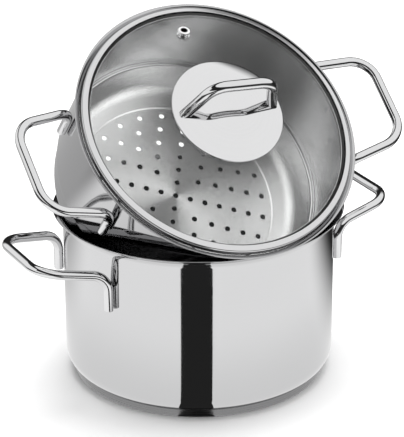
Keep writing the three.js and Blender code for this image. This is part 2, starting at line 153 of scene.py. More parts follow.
# Polish marks: lathe lines are a noise of (radius, height), wipe marks a broad noise of the place. Their
# blend moves the colour between dark and light and the roughness between smooth and rough.
polish_marks, given = node_group(
    "polish_marks",
    {"Place": "Vector", "Fineness": "Float", "Smooth": "Float", "Rough": "Float",
     "Dark": "Color", "Light": "Color"},
    {"Colour": "Color", "Roughness": "Float"})
split = node(polish_marks, "SeparateXYZ", {0: given["Place"]}).outputs
flat = node(polish_marks, "CombineXYZ", {"X": split["X"], "Y": split["Y"]}).outputs[0]
reach = node(polish_marks, "VectorMath", {0: flat}, operation="LENGTH").outputs["Value"]
profile = node(polish_marks, "CombineXYZ", {"X": reach, "Y": split["Z"]}).outputs[0]
fine = node(polish_marks, "VectorMath", {0: profile, "Scale": given["Fineness"]}, operation="SCALE")
lines = node(polish_marks, "TexNoise", {"Vector": fine.outputs[0], "Scale": 1, "Detail": 4}).outputs["Fac"]
wipes = node(polish_marks, "TexNoise", {"Vector": given["Place"], "Scale": 22, "Detail": 3}).outputs["Fac"]
blend = node(polish_marks, "Mix", {0: 0.45, 2: lines, 3: wipes}, data_type="FLOAT").outputs[0]
tone = node(polish_marks, "Mix", {0: blend, 6: given["Dark"], 7: given["Light"]}, data_type="RGBA").outputs[2]
spread = node(polish_marks, "MapRange", {"Value": blend, "From Min": 0.35, "From Max": 0.65,
                                         "To Min": given["Smooth"], "To Max": given["Rough"]}).outputs[0]
node(polish_marks, "NodeGroupOutput", {"Colour": tone, "Roughness": spread})

# Turned grain: grooves too fine to see, which run round an axis. The normal tips across the grooves, along
# the cross product of the way round and the normal, by a random value times the depth.
turned_grain, given = node_group(
    "turned_grain", {"Place": "Vector", "Normal": "Vector", "Round": "Vector", "Depth": "Float"},
    {"Normal": "Vector"})
chance = node(turned_grain, "TexWhiteNoise", {"Vector": given["Place"]}).outputs["Color"]
thirds = (0.333, 0.333, 0.333)
chance = node(turned_grain, "VectorMath", {0: chance, 1: thirds}, operation="DOT_PRODUCT").outputs["Value"]
tilt = node(turned_grain, "Math", {0: chance, 1: 0.5}, operation="SUBTRACT").outputs[0]
tilt = node(turned_grain, "Math", {0: tilt, 1: given["Depth"]}, operation="MULTIPLY").outputs[0]
across = node(turned_grain, "VectorMath", {0: given["Round"], 1: given["Normal"]}, operation="CROSS_PRODUCT")
across = node(turned_grain, "VectorMath", {0: across.outputs[0], "Scale": tilt}, operation="SCALE").outputs[0]
tipped_over = node(turned_grain, "VectorMath", {0: given["Normal"], 1: across}, operation="ADD").outputs[0]
tipped_over = node(turned_grain, "VectorMath", {0: tipped_over}, operation="NORMALIZE").outputs[0]
node(turned_grain, "NodeGroupOutput", {"Normal": tipped_over})


def polished_metal(name, colour, smooth, rough, fineness, axis=(0, 0, 0, 0), grain=0.0, inside=None):
    """Metal with polish marks about an axis: its foot in metres and its lean about X in degrees. The grain is
    the depth of turned grooves; inside gives the roughness, grain and colour of a sheet's inner face. That
    colour is
    painted: shade on the pot, the lid's channel, the eyelet's bore and the plate's underside, light in the
    steamer."""
    material = bpy.data.materials.new(name)
    material.use_nodes = True
    tree = material.node_tree
    shader = tree.nodes["Principled BSDF"]
    shader.inputs["Metallic"].default_value = 1
    place = node(tree, "TexCoord").outputs["Object"]
    lean = math.radians(axis[3])
    place = node(tree, "Mapping", {"Vector": place, "Location": axis[:3], "Rotation": (lean, 0, 0)},
                 vector_type="TEXTURE").outputs[0]
    dark, light = [[share * c for c in colour] + [1] for share in (0.96, 1.03)]
    marks = node(tree, "Group", {"Place": place, "Fineness": fineness, "Smooth": smooth, "Rough": rough,
                                 "Dark": dark, "Light": light}, node_tree=polish_marks).outputs
    tone, roughness = marks["Colour"], marks["Roughness"]
    if inside:
        inner_rough, grain, inner_painted_tone = inside
        face = node(tree, "Attribute", attribute_name="inside").outputs["Fac"]
        tone = node(tree, "Mix", {0: face, 6: tone, 7: (*inner_painted_tone, 1)}, data_type="RGBA").outputs[2]
        roughness = node(tree, "Mix", {0: face, 2: roughness, 3: inner_rough}, data_type="FLOAT").outputs[0]
    tree.links.new(tone, shader.inputs["Base Color"])
    tree.links.new(roughness, shader.inputs["Roughness"])
    if grain:
        depth = grain
        if inside:
            depth = node(tree, "Math", {0: face, 1: grain}, operation="MULTIPLY").outputs[0]
        outward = node(tree, "TexCoord").outputs["Object"]
        outward = node(tree, "VectorMath", {0: outward, 1: axis[:3]}, operation="SUBTRACT").outputs[0]
        upright = (0, -math.sin(lean), math.cos(lean))
        way = node(tree, "VectorMath", {0: upright, 1: outward}, operation="CROSS_PRODUCT").outputs[0]
        way = node(tree, "VectorMath", {0: way}, operation="NORMALIZE").outputs[0]
        normal = node(tree, "NewGeometry").outputs["Normal"]
        grooved = node(tree, "Group", {"Place": place, "Normal": normal, "Round": way, "Depth": depth},
                       node_tree=turned_grain)
        tree.links.new(grooved.outputs["Normal"], shader.inputs["Normal"])
    return material


pot_radius, pot_floor, pot_corner = 100, 4.7, 13
pot_lip, pot_overhang, pot_rise = 128.2, 6.9, 8.2
sheet = 0.8
# Below this height the pot's inner face is rough and grained, and its dark colour is painted shade inside the
# pot.
dull_shaded_inside_top = 121
pot_steel = polished_metal("pot_mirror_steel", (0.57, 0.57, 0.575), 0.03, 0.07, 900,
                           inside=(0.25, 0.6, (0.22, 0.22, 0.225)))
pot_bend = arc((pot_radius - pot_corner, pot_floor + pot_corner), pot_corner, -90, 0, 24)
pot_outside = outline_of((0, pot_floor), pot_bend, flared(pot_radius, pot_lip, pot_overhang, pot_rise))
pot_outline = bent_sheet(pot_outside, sheet)
pot_inner_line = np.arange(len(pot_outline)) > len(pot_outline) / 2
pot_dull_shaded_inside = np.repeat(pot_inner_line & (pot_outline[:, 1] < dull_shaded_inside_top), round_steps)
pot_shell = make_piece("pot_shell", *turned(pot_outline), pot_steel, pot_dull_shaded_inside)
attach(pot_shell, "pot")
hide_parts("pot_body")


# Base. An aluminium disc spreads the heat; a stainless capsule is pressed round it and brazed to the pot's
# floor. The capsule is turned to a satin finish and stands on the hob. Its colour, darker than the wall, is
# painted shade: the shadowed floor round the foot that it mirrors.
base_shaded_steel = polished_metal("base_satin_steel_painted_shade", (0.23, 0.23, 0.233), 0.22, 0.34, 2600, grain=0.5)
cap_radius, cap_height, cap_edge, cap_sheet = 93.8, 6.0, 1.6, 0.7
cap_bend = arc((cap_radius - cap_edge, cap_edge), cap_edge, -90, 0, 10)
cap_outside = outline_of((0, 0), cap_bend, (cap_radius, cap_height))
base_cap = make_piece("base_capsule", *turned(bent_sheet(cap_outside, cap_sheet)), base_shaded_steel)
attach(base_cap, "pot")
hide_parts("pot_base_cap")
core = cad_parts["pot_base_core"]
core.data.materials.clear()
core.data.materials.append(polished_metal("core_aluminium", (0.70, 0.71, 0.72), 0.35, 0.5, 700))


# Pot handles. Each is one 7 mm stainless rod bent cold into a loop: two upright legs welded to the wall,
# arms that rise outwards and a bar across. The rods are tumble polished.
def bent_path(corners, bends, count=14):
    """Centre line of a bent rod. Each bend is start + r sin a along the first straight + r (1 - cos a)
    towards the next, with a guard point on the straight 0.3 mm either side of it."""
    corners = np.asarray(corners, float)
    way = np.diff(corners, axis=0)
    way /= np.linalg.norm(way, axis=1)[:, None]
    places, heads = [corners[:1]], [way[:1]]
    for corner, into, out, radius in zip(corners[1:-1], way[:-1], way[1:], bends):
        turn = math.acos(into @ out)
        a = np.linspace(0, turn, count)[:, None]
        side = (out - (out @ into) * into) / math.sin(turn)
        start = corner - into * radius * math.tan(turn / 2)
        stop = corner + out * radius * math.tan(turn / 2)
        curve = start + radius * (np.sin(a) * into + (1 - np.cos(a)) * side)
        places += [[start - 0.3 * into], curve, [stop + 0.3 * out]]
        heads += [[into], np.cos(a) * into + np.sin(a) * side, [out]]
    return np.concatenate(places + [corners[-1:]]), np.concatenate(heads + [way[-1:]])


def round_rod(path, heading, radius, hint, around=36, edge=0.6):
    """Round rod: centre + radius (cos t A + sin t B), with A and B square to the path. Both ends are rounded
    off by a quarter circle and closed at a pole."""
    q = np.radians(np.linspace(0, 90, 7))[:, None]
    first = path[:1] + heading[:1] * edge * (1 - np.sin(q))
    last = path[-1:] - heading[-1:] * edge * (1 - np.sin(q))
    centre = np.concatenate([path[:1], first[::-1], path[1:-1], last, path[-1:]])
    front, back = np.repeat(heading[:1], 8, 0), np.repeat(heading[-1:], 8, 0)
    head = np.concatenate([front, heading[1:-1], back])
    cap = (radius - edge + edge * np.cos(q))[:, 0]
    size = np.concatenate([[0], cap[::-1], np.full(len(path) - 2, radius), cap, [0]])
    a = np.asarray(hint, float) - (head @ np.asarray(hint, float))[:, None] * head
    a /= np.linalg.norm(a, axis=1)[:, None]
    b = np.cross(head, a)
    t = np.linspace(0, 2 * np.pi, around, endpoint=False)[None, :, None]
    points = centre[:, None] + size[:, None, None] * (np.cos(t) * a[:, None] + np.sin(t) * b[:, None])
    return points.reshape(-1, 3), quads(len(centre), around, False)


rod_radius, weld_gap = 3.5, 0.3
half_legs, half_bar, leg_length = 41.5, 34.25, 27
arm_reach, arm_slope = 49.6, math.tan(math.radians(10.6))
leg_bend, bar_bend = 14, 19.6


def loop_handle(wall, arm, side):
    """Side handle on a round wall: legs that end below the height of the arm, arms that rise outwards from
    there, and a bar across."""
    leg = math.sqrt((wall + rod_radius + weld_gap) ** 2 - half_legs**2)
    bar, top, foot = leg + arm_reach, arm + arm_reach * arm_slope, arm - leg_length
    corners = np.array([(leg, -half_legs, foot), (leg, -half_legs, arm), (bar, -half_bar, top),
                        (bar, half_bar, top), (leg, half_legs, arm), (leg, half_legs, foot)])
    path = bent_path(corners * (side, side, 1), (leg_bend, bar_bend, bar_bend, leg_bend))
    return round_rod(*path, rod_radius, (side, 0, -1))


pot_arm = 107
rod_steel = polished_metal("rod_steel", (0.66, 0.66, 0.665), 0.03, 0.08, 600)
for label, side in (("left", -1), ("right", 1)):
    handle = make_piece("pot_loop_" + label, *loop_handle(pot_radius, pot_arm, side), rod_steel)
    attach(handle, "pot")
    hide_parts("pot_handle_" + label)


# Steamer shell. Drawn like the pot, with a step in the wall that seats in the pot's mouth. The floor is
# punched with round holes: one in the middle, then rings of 4, 8, 12 and so on up to 24. It leans in the
# pot's mouth, tipped about X.
lean_angle = 40.4
steamer_place = (0, -29.5, 197.46)


def tipped(points):
    """From the steamer's frame, lip at height 0, to the pot's: a turn about X by its lean and a lift."""
    c, s = math.cos(math.radians(lean_angle)), math.sin(math.radians(lean_angle))
    return points @ np.array([[1, 0, 0], [0, c, s], [0, -s, c]]) + steamer_place


def perforated_floor(radius, low, high, centres, hole, around=28, count=round_steps):
    """Disc with rounded holes. A hole's edge is a grid of the turn round it against two quarter rounds; the
    flats between the holes and the disc's edge are a Delaunay mesh used on both faces."""
    r, flat_start = 0.25, hole + 0.5
    edge = outline_of((flat_start, high), arc((hole + r, high - r), r, 90, 180, 5),
                      arc((hole + r, low + r), r, 180, 270, 5), (flat_start, low))
    t = np.linspace(0, 2 * np.pi, around, endpoint=False)
    ring = np.stack([edge[:, :1] * np.cos(t), edge[:, :1] * np.sin(t), edge[:, 1:] + 0 * t], 2)
    shift = np.concatenate([centres, np.zeros((len(centres), 1))], 1)
    rims = (shift[:, None, None] + ring).reshape(-1, 3)
    one = quads(len(edge), around, False)
    rim_faces = (one + (np.arange(len(centres)) * len(edge) * around)[:, None, None]).reshape(-1, 4)
    circle = flat_start * np.stack([np.cos(t), np.sin(t)], 1)
    wide = np.linspace(0, 2 * np.pi, count, endpoint=False)
    border = radius * np.stack([np.cos(wide), np.sin(wide)], 1)
    marks = np.concatenate([(centres[:, None] + circle).reshape(-1, 2), border])
    holes = np.arange(len(centres) * around).reshape(-1, around)
    bound = np.arange(count) + holes.size
    edges = np.concatenate([np.stack([holes, np.roll(holes, -1, 1)], 2).reshape(-1, 2),
                            np.stack([bound, np.roll(bound, -1)], 1)])
    found = delaunay_2d_cdt(marks.tolist(), edges.tolist(), [], 1, 1e-6)
    flat, tris = np.array(found[0]), np.array(found[2])
    middle = flat[tris].mean(1)
    nearest = np.linalg.norm(middle[:, None] - centres[None], axis=2).argmin(1)
    reach = np.linalg.norm(flat[tris] - centres[nearest][:, None], axis=2).max(1)
    tris = tris[reach > flat_start + 0.001]
    a, b, c = flat[tris].transpose(1, 0, 2)
    back = (b - a)[:, 0] * (c - a)[:, 1] - (b - a)[:, 1] * (c - a)[:, 0] < 0
    tris[back] = tris[back][:, ::-1]
    level = np.ones((len(flat), 1))
    points = np.concatenate([rims, np.hstack([flat, high * level]), np.hstack([flat, low * level])])
    start = len(rims)
    return points, rim_faces.tolist() + (tris + start).tolist() + (tris[:, ::-1] + start + len(flat)).tolist()


steamer_radius, floor_radius, floor_low = 100.2, 74.6, -101.2
floor_high = floor_low + sheet
hole_pitch, hole_radius, first_hole_turn = 11.54, 2.0, np.radians(-27.9)
ring_counts = [1, 4, 8, 12, 16, 20, 24]
steamer_axis = (*(0.001 * c for c in steamer_place), lean_angle)
# The steamer's lower inside and floor top are rough and grained, and their colour of 0.95, far above the
# outer steel's, is painted light.
steamer_steel = polished_metal("steamer_mirror_steel", (0.48, 0.48, 0.485), 0.03, 0.08, 900, steamer_axis,
                               inside=(0.12, 1.0, (0.95, 0.95, 0.95)))
floor_rim = [(floor_radius, floor_low), (75.9, floor_low), (76.9, -100.6)]
shell_corner = arc((84.2, -87.8), 12.8, -90, 0, 24)
shell_step = [*arc((97.7, -71.9), 0.7, 180, 90, 7), *arc((98.6, -69.6), 1.6, -90, 0, 10)]
shell_flare = flared(steamer_radius, -0.8, 4.9, 7.2, 55)
shell_outline = bent_sheet(outline_of(floor_rim, shell_corner, shell_step, shell_flare), sheet)
shell_points, shell_faces = turned(shell_outline)
# Share of that inner look by height: full below the step, part at the step, none above. It brings both the
# grain and the painted light.
grain_and_painted_light_heights, grain_and_painted_light_shares = (-73, -71.5, -68, -66.5), (1, 0.4, 0.4, 0)
grain_and_painted_light_line = np.interp(shell_outline[:, 1], grain_and_painted_light_heights, grain_and_painted_light_shares)
shell_inner_line = np.arange(len(shell_outline)) > len(shell_outline) / 2
shell_inside = np.repeat(np.where(shell_inner_line, grain_and_painted_light_line, 0), round_steps)
ring = np.repeat(np.arange(len(ring_counts)), ring_counts)
order = np.concatenate([np.arange(count) / count for count in ring_counts])
hole_turn = first_hole_turn + 2 * np.pi * order
hole_centres = hole_pitch * ring[:, None] * np.stack([np.cos(hole_turn), np.sin(hole_turn)], 1)
floor_points, floor_faces = perforated_floor(floor_radius, floor_low, floor_high, hole_centres, hole_radius)
steamer_points = tipped(np.concatenate([shell_points, floor_points]))
steamer_faces = shell_faces.tolist() + [[k + len(shell_points) for k in face] for face in floor_faces]
steamer_inside = np.concatenate([shell_inside, floor_points[:, 2] > floor_low + sheet / 2])
steamer_shell = make_piece("steamer_shell", steamer_points, steamer_faces, steamer_steel, steamer_inside)
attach(steamer_shell, "steamer")
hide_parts("steamer_body")


# Steamer handles. The same bent rods as the pot's, welded higher on the steamer's wall, so that the two
# pairs line up one above the other when the set is stacked.
steamer_arm = -14.8
steamer_rod_steel = polished_metal("steamer_rod_steel", (0.66, 0.66, 0.665), 0.03, 0.08, 600, steamer_axis)
for label, side in (("left", -1), ("right", 1)):
    points, faces = loop_handle(steamer_radius, steamer_arm, side)
    handle = make_piece("steamer_loop_" + label, tipped(points), faces, steamer_rod_steel)
    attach(handle, "steamer")
    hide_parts("steamer_handle_" + label)


# Lid glass. A sagged dome of tempered glass with a ground round edge, drilled in the middle for the handle
# plate's stud and once near the upper edge for the steam vent.
dome_foot, dome_rise, dome_radius = 0.99, 23.2, 99.9
glass_thickness, vent_reach = 4, 75.4


def dome(radius, lift):
    """Height over the dome: foot + rise (1 - (r / dome radius) squared), lifted along the dome's normal."""
    slope = 2 * dome_rise * radius / dome_radius**2
    return dome_foot + dome_rise * (1 - (radius / dome_radius) ** 2) + lift * np.sqrt(1 + slope**2)


def dome_line(start, end, lift, count=48):
    """A line on the dome from one radius to another at a constant lift."""
    radius = np.linspace(start, end, count)
    return np.stack([radius, dome(radius, lift)], 1)


def on_vent(points):
    """From the vent's own axis to the lid: a turn square to the dome at the vent, and a shift to its top."""
    a = math.atan(2 * dome_rise * vent_reach / dome_radius**2)
    c, s = math.cos(a), math.sin(a)
    return points @ np.array([[1, 0, 0], [0, c, -s], [0, s, c]]) + (0, vent_reach, dome(vent_reach, 0))


lid_glass = bpy.data.materials.new("lid_clear_glass")
lid_glass.use_nodes = True
glass_tree = lid_glass.node_tree
glass_shader = glass_tree.nodes["Principled BSDF"]
glass_shader.inputs["Base Color"].default_value = (0.985, 0.99, 0.987, 1)
glass_shader.inputs["Transmission Weight"].default_value = 1
glass_shader.inputs["IOR"].default_value = 1.3
glass_place = node(glass_tree, "TexCoord").outputs["Object"]
glass_haze = node(glass_tree, "TexNoise", {"Vector": glass_place, "Scale": 30}).outputs["Fac"]
glass_wipe = node(glass_tree, "MapRange", {"Value": glass_haze, "From Min": 0.4, "To Max": 0.02}).outputs[0]
glass_tree.links.new(glass_wipe, glass_shader.inputs["Roughness"])
glass_outline = bent_sheet(dome_line(5.2, 97.1, -glass_thickness, 64), glass_thickness)
glass_points, glass_faces = turned(glass_outline, closed=True)
glass_dome = make_piece("glass_dome", tipped(glass_points), glass_faces, lid_glass)
drill_points, drill_faces = turned(np.array([(0, -12), (3.3, -12), (3.3, 12), (0, 12)]), count=48)
vent_drill = make_piece("vent_drill", tipped(on_vent(drill_points)), drill_faces, lid_glass)
drilled = glass_dome.modifiers.new("vent", "BOOLEAN")
drilled.object = vent_drill
drilled.solver = "EXACT"
bpy.context.view_layer.update()
ready = bpy.data.meshes.new_from_object(glass_dome.evaluated_get(bpy.context.evaluated_depsgraph_get()))
glass_dome.modifiers.clear()
glass_dome.data = ready
bpy.data.objects.remove(vent_drill)
ready.set_sharp_from_angle(angle=math.radians(50))
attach(glass_dome, "lid")
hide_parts("lid_glass")


# Lid band. A stainless strip rolled into a channel round the edge of the glass. Its lower lip is wider and
# shows through the glass; its outside seats in the steamer's flared mouth.
def rounded(corners, radii, count=7):
    """Closed outline through the corners, each replaced by an arc that touches both its sides, with guard
    points on the straights."""
    corners, parts = np.asarray(corners, float), []
    for before, corner, after, radius in zip(np.roll(corners, 1, 0), corners, np.roll(corners, -1, 0), radii):
        into = (corner - before) / np.linalg.norm(corner - before)
        out = (after - corner) / np.linalg.norm(after - corner)
        turn = math.acos(np.clip(into @ out, -1, 1))
        a = np.linspace(0, turn, count)[:, None]
        side = (out - (out @ into) * into) / math.sin(turn)
        start = corner - into * radius * math.tan(turn / 2)
        parts.append(start + radius * (np.sin(a) * into + (1 - np.cos(a)) * side))
    return outline_of(*parts, parts[0][:1])[:-1]


# The channel's inside is rough, and its near-black colour is painted shade in the recess round the glass's
# edge.
lid_steel = polished_metal("lid_steel", (0.62, 0.62, 0.625), 0.03, 0.07, 900, steamer_axis,
                           inside=(0.4, 0.0, (0.12, 0.12, 0.12)))
low_lip, high_lip, band_wall, band_outside = 93.5, 96.5, 100.2, 100.9
band_corners = [(low_lip, dome(low_lip, -5.0)), (99.5, dome(99.5, -5.0)), (band_outside, -2.7),
                (band_outside, dome(band_outside, 1.0)), (high_lip, dome(high_lip, 1.0)),
                (high_lip, dome(high_lip, 0.3)), (band_wall, dome(band_wall, 0.3)),
                (band_wall, dome(band_wall, -4.3)), (low_lip, dome(low_lip, -4.3))]
band_outline = rounded(band_corners, (0.3, 0.8, 0.8, 1.4, 0.3, 0.3, 0.5, 0.3, 0.3))
band_lift = band_outline[:, 1] - dome(band_outline[:, 0], 0)
band_within = (band_outline[:, 0] > low_lip + 0.4) & (band_outline[:, 0] < band_wall + 0.1)
band_shaded_channel = band_within & (band_lift > -4.9) & (band_lift < 0.4)
band_points, band_faces = turned(band_outline, closed=True)
band_inside = np.repeat(band_shaded_channel, round_steps)
band = make_piece("lid_channel", tipped(band_points), band_faces, lid_steel, band_inside)
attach(band, "lid")
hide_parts("lid_band")


# Steam vent. A flanged stainless eyelet stands in the drilled hole of the glass. Its lower end is spread over
# a steel ring, which holds it from below.
eyelet_corners = [(2.2, -6.3), (3.8, -6.3), (3.8, -5.6), (3.0, -5.6),
                  (3.0, 0.3), (4.8, 0.3), (4.8, 1.4), (2.2, 1.4)]
eyelet_rounds = (0.3, 0.3, 0.3, 0.05, 0.05, 0.2, 0.9, 0.7)
eyelet_points, eyelet_faces = turned(rounded(eyelet_corners, eyelet_rounds), True, 64)
# The bore is rough, and its near-black colour is painted shade inside the vent hole.
eyelet_steel = polished_metal("eyelet_steel", (0.85, 0.85, 0.855), 0.03, 0.07, 900, steamer_axis,
                              inside=(0.5, 0.0, (0.03, 0.03, 0.03)))
eyelet = make_piece("vent_eyelet", tipped(on_vent(eyelet_points)), eyelet_faces, eyelet_steel,
                    np.hypot(eyelet_points[:, 0], eyelet_points[:, 1]) < 2.5)
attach(eyelet, "lid")
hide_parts("lid_vent_eyelet")
fixing_steel = polished_metal("fixing_steel", (0.58, 0.58, 0.585), 0.15, 0.28, 1500, steamer_axis)
ring_corners = [(3.3, -5.1), (4.8, -5.1), (4.8, -4.4), (3.3, -4.4)]
ring_points, ring_faces = turned(rounded(ring_corners, (0.15,) * 4), True, 64)
vent_ring = make_piece("vent_ring", tipped(on_vent(ring_points)), ring_faces, fixing_steel)
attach(vent_ring, "lid")
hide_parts("lid_vent_washer")


# Handle plate. A polished stainless disc, domed more than the glass; its rim presses on a silicone ring that
# keeps steel and glass apart.
silicone = bpy.data.materials.new("gasket_silicone")
silicone.use_nodes = True
silicone_tree = silicone.node_tree
silicone_shader = silicone_tree.nodes["Principled BSDF"]
silicone_shader.inputs["Roughness"].default_value = 0.6
silicone_dark, silicone_light = (0.025, 0.025, 0.025, 1), (0.04, 0.04, 0.04, 1)
silicone_place = node(silicone_tree, "TexCoord").outputs["Object"]
silicone_grain = node(silicone_tree, "TexNoise", {"Vector": silicone_place, "Scale": 900}).outputs["Fac"]
silicone_tone = node(silicone_tree, "Mix", {0: silicone_grain, 6: silicone_dark, 7: silicone_light},
                     data_type="RGBA").outputs[2]
silicone_tree.links.new(silicone_tone, silicone_shader.inputs["Base Color"])
gasket_points, gasket_faces = turned(bent_sheet(dome_line(34.2, 39.8, 0.3, 8), 0.8), closed=True)
gasket = make_piece("plate_gasket", tipped(gasket_points), gasket_faces, silicone)
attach(gasket, "lid")
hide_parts("lid_gasket")
plate_radius, plate_rise, plate_lift, plate_sheet = 41, 10.5, 1.4, 1.0


def plate_height(radius):
    """Height of the plate's underside: its rim on the dome plus rise (1 - (r / plate radius) squared)."""
    return dome(plate_radius, plate_lift) + plate_rise * (1 - (radius / plate_radius) ** 2)


plate_reach = np.linspace(0, 40.6, 48)
plate_line = np.stack([plate_reach, plate_height(plate_reach)], 1)
plate_points, plate_faces = turned(bent_sheet(plate_line, plate_sheet))
# The plate's underside is rough, and its dark colour is painted shade under the plate.
plate_steel = polished_metal("plate_steel", (0.68, 0.68, 0.685), 0.03, 0.06, 900, steamer_axis,
                             inside=(0.5, 0.0, (0.22, 0.22, 0.22)))
plate_shaded_under = plate_points[:, 2] < plate_height(np.hypot(plate_points[:, 0], plate_points[:, 1])) + 0.2
plate = make_piece("handle_plate", tipped(plate_points), plate_faces, plate_steel, plate_shaded_under)
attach(plate, "lid")
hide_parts("lid_plate")


# Lid handle. An 8 mm stainless rod bent into a bridge with splayed legs. Its feet are ground to the plate's
# dome and welded, so points that would sink into the plate slide up along the leg.
half_feet, half_grip, grip_low, grip_top = 34.2, 22, 23.2, 57.8
grip_radius, grip_bend, leg_splay, foot_gap = 4.0, 14, 0.353, 0.02
grip_corners = [(-half_feet, 0, grip_low), (-half_grip, 0, grip_top),
                (half_grip, 0, grip_top), (half_feet, 0, grip_low)]
grip_path = bent_path(grip_corners, (grip_bend, grip_bend))
grip_points, grip_faces = round_rod(*grip_path, grip_radius, (0, 1, 0), edge=0.2)
level = 0 * grip_points[:, 0]
leg_way = np.stack([-np.sign(grip_points[:, 0]) * leg_splay, level, 1 + level], 1)
for _ in range(6):
    plate_top = plate_height(np.hypot(grip_points[:, 0], grip_points[:, 1])) + plate_sheet + foot_gap
    grip_points = grip_points + np.maximum(plate_top - grip_points[:, 2], 0)[:, None] * leg_way
swing = math.radians(-5)
grip_points = grip_points @ np.array([[math.cos(swing), math.sin(swing), 0],
                                      [-math.sin(swing), math.cos(swing), 0], [0, 0, 1]])
grip = make_piece("lid_grip", tipped(grip_points), grip_faces, steamer_rod_steel)
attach(grip, "lid")
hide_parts("lid_handle")


# Lid fixing. A flanged stud under the plate passes a silicone sleeve in the glass; a soft seal, a steel
# washer and a cap nut hold it from below.
fixings = [("lid_stud", "satin_steel", fixing_steel, [(0, 10.9), (2.6, 10.9), (3, 11.3), (3, 30.5), (6, 30.5),
                                                      (6, 31.6), (0, 31.6)]),
           ("lid_sleeve", "silicone", silicone, [(3.3, 20.2), (4.9, 20.2), (4.9, 23.9), (3.3, 23.9)]),
           ("lid_seal", "silicone", silicone, [(3.3, 18.2), (10, 18.2), (10, 19.6), (3.3, 19.6)]),
           ("lid_washer", "satin_steel", fixing_steel, [(3.3, 16.7), (9, 16.7), (9, 17.9), (3.3, 17.9)])]
for node_name, slot_name, finish, corners in fixings:
    if corners[0][0] == 0:
        points, faces = turned(outline_of(*corners), count=64)
    else:
        points, faces = turned(rounded(corners, (0.25,) * 4), True, 64)
    piece = make_piece(node_name + "_turned", tipped(points), faces, finish)
    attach(piece, "lid")
    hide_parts(node_name)


def cap_nut(low, top, flats, cap, bore, count=96):
    """Cap nut: the block's radius at turn t is half the flats over cos of t folded into 30 degrees, drawn in
    at its chamfers; below it a dome, above it a bore."""
    t = np.linspace(0, 2 * np.pi, count, endpoint=False)
    fold = np.abs((t + np.pi / 6) % (np.pi / 3) - np.pi / 6)
    hexagon = flats / 2 / np.cos(fold)
    b = np.radians(np.linspace(0, 90, 10))[:, None]
    cover = [0.48 * flats * np.sin(b) + 0 * t, low - cap * np.cos(b) + 0 * t]
    level = np.array([low, low + 0.4, top - 0.4, top])[:, None]
    block = [np.minimum(hexagon, np.array([5.1, 5.8, 5.8, 5.1])[:, None]), level + 0 * t]
    inner = [np.array([[bore], [bore], [0]]) + 0 * t, np.array([[top], [low - 0.3], [low - 0.3]]) + 0 * t]
    radius = np.concatenate([cover[0], block[0], inner[0]])
    height = np.concatenate([cover[1], block[1], inner[1]])
    points = np.stack([radius * np.cos(t), radius * np.sin(t), height], 2).reshape(-1, 3)
    return points, quads(len(radius), count, False)


nut_points, nut_faces = cap_nut(11.35, 16.35, 10, 3.4, 3.3)
nut = make_piece("lid_cap_nut", tipped(nut_points), nut_faces, lid_steel)
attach(nut, "lid")
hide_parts("lid_nut")


# Studio. A white floor in a light tent with dark screens, a broad lamp above and two black cards in front.
# The floor and the tent look one way to the camera, another in steel, and another through the glass.
floor_half, floor_level = 6, -0.0004
floor_signs = [(-1, -1), (1, -1), (1, 1), (-1, 1)]
floor_corners = [(x * floor_half, y * floor_half, floor_level) for x, y in floor_signs]
floor_mesh = bpy.data.meshes.new("studio_floor")
floor_mesh.from_pydata(floor_corners, [], [(0, 1, 2, 3)])
floor_paint = bpy.data.materials.new("floor_white")
floor_paint.use_nodes = True
floor_shader = floor_paint.node_tree.nodes["Principled BSDF"]
floor_shader.inputs["Roughness"].default_value = 0.9
floor_shader.inputs["Specular IOR Level"].default_value = 0
floor_tree = floor_paint.node_tree


def fade(tree, value, start, end):
    """A soft step from 0 at start to 1 at end."""
    return node(tree, "MapRange", {"Value": value, "From Min": start, "From Max": end},
                interpolation_type="SMOOTHSTEP").outputs[0]


def along(tree, place, way):
    """How far a place or a direction reaches along a given way."""
    return node(tree, "VectorMath", {0: place, 1: way}, operation="DOT_PRODUCT").outputs["Value"]


def blend_of(tree, amount, first, second):
    """A value between two others."""
    return node(tree, "Mix", {0: amount, 2: first, 3: second}, data_type="FLOAT").outputs[0]


def join(tree, first, second, operation):
    """Two values joined by an operation such as a product or the larger of both."""
    return node(tree, "Math", {0: first, 1: second}, operation=operation).outputs[0]


def size_of(tree, value):
    """A value without its sign."""
    return node(tree, "Math", {0: value}, operation="ABSOLUTE").outputs[0]


# What steel and glass see of the floor is a painted reflection: for their rays the floor glows with this tone
# instead of its lit white. It is bright round the pot, a little dimmer close to it as a painted shadow, and
# dark far in front and at the sides. Steel also sees it darker behind the pot.
away, aside = (0.477, 0.879, 0), (0.879, -0.477, 0)
paper_white, black = (0.95, 0.95, 0.95, 1), (0, 0, 0, 1)
floor_place = node(floor_tree, "TexCoord").outputs["Object"]
floor_reach = node(floor_tree, "VectorMath", {0: floor_place}, operation="LENGTH").outputs["Value"]
floor_far = along(floor_tree, floor_place, away)
floor_across = along(floor_tree, floor_place, aside)
floor_side = fade(floor_tree, floor_across, -0.08, 0.08)
floor_aside = fade(floor_tree, size_of(floor_tree, floor_across), 0.33, 0.45)
floor_painted_reflection = blend_of(floor_tree, fade(floor_tree, floor_reach, 0.12, 0.26), 0.88, 1.04)
floor_painted_reflection = blend_of(floor_tree, fade(floor_tree, floor_far, -0.45, -0.7), floor_painted_reflection, 0.03)
floor_painted_reflection = blend_of(floor_tree, floor_aside, floor_painted_reflection, 0.05)
floor_path = node(floor_tree, "LightPath").outputs
floor_direct = join(floor_tree, 1, floor_path["Is Transmission Ray"], "SUBTRACT")
floor_behind = join(floor_tree, fade(floor_tree, floor_far, 0, 0.2), floor_direct, "MULTIPLY")
floor_painted_reflection = blend_of(floor_tree, floor_behind, floor_painted_reflection, blend_of(floor_tree, floor_side, 0.5, 0.02))
floor_seen = join(floor_tree, floor_path["Is Glossy Ray"], floor_path["Is Transmission Ray"], "MAXIMUM")
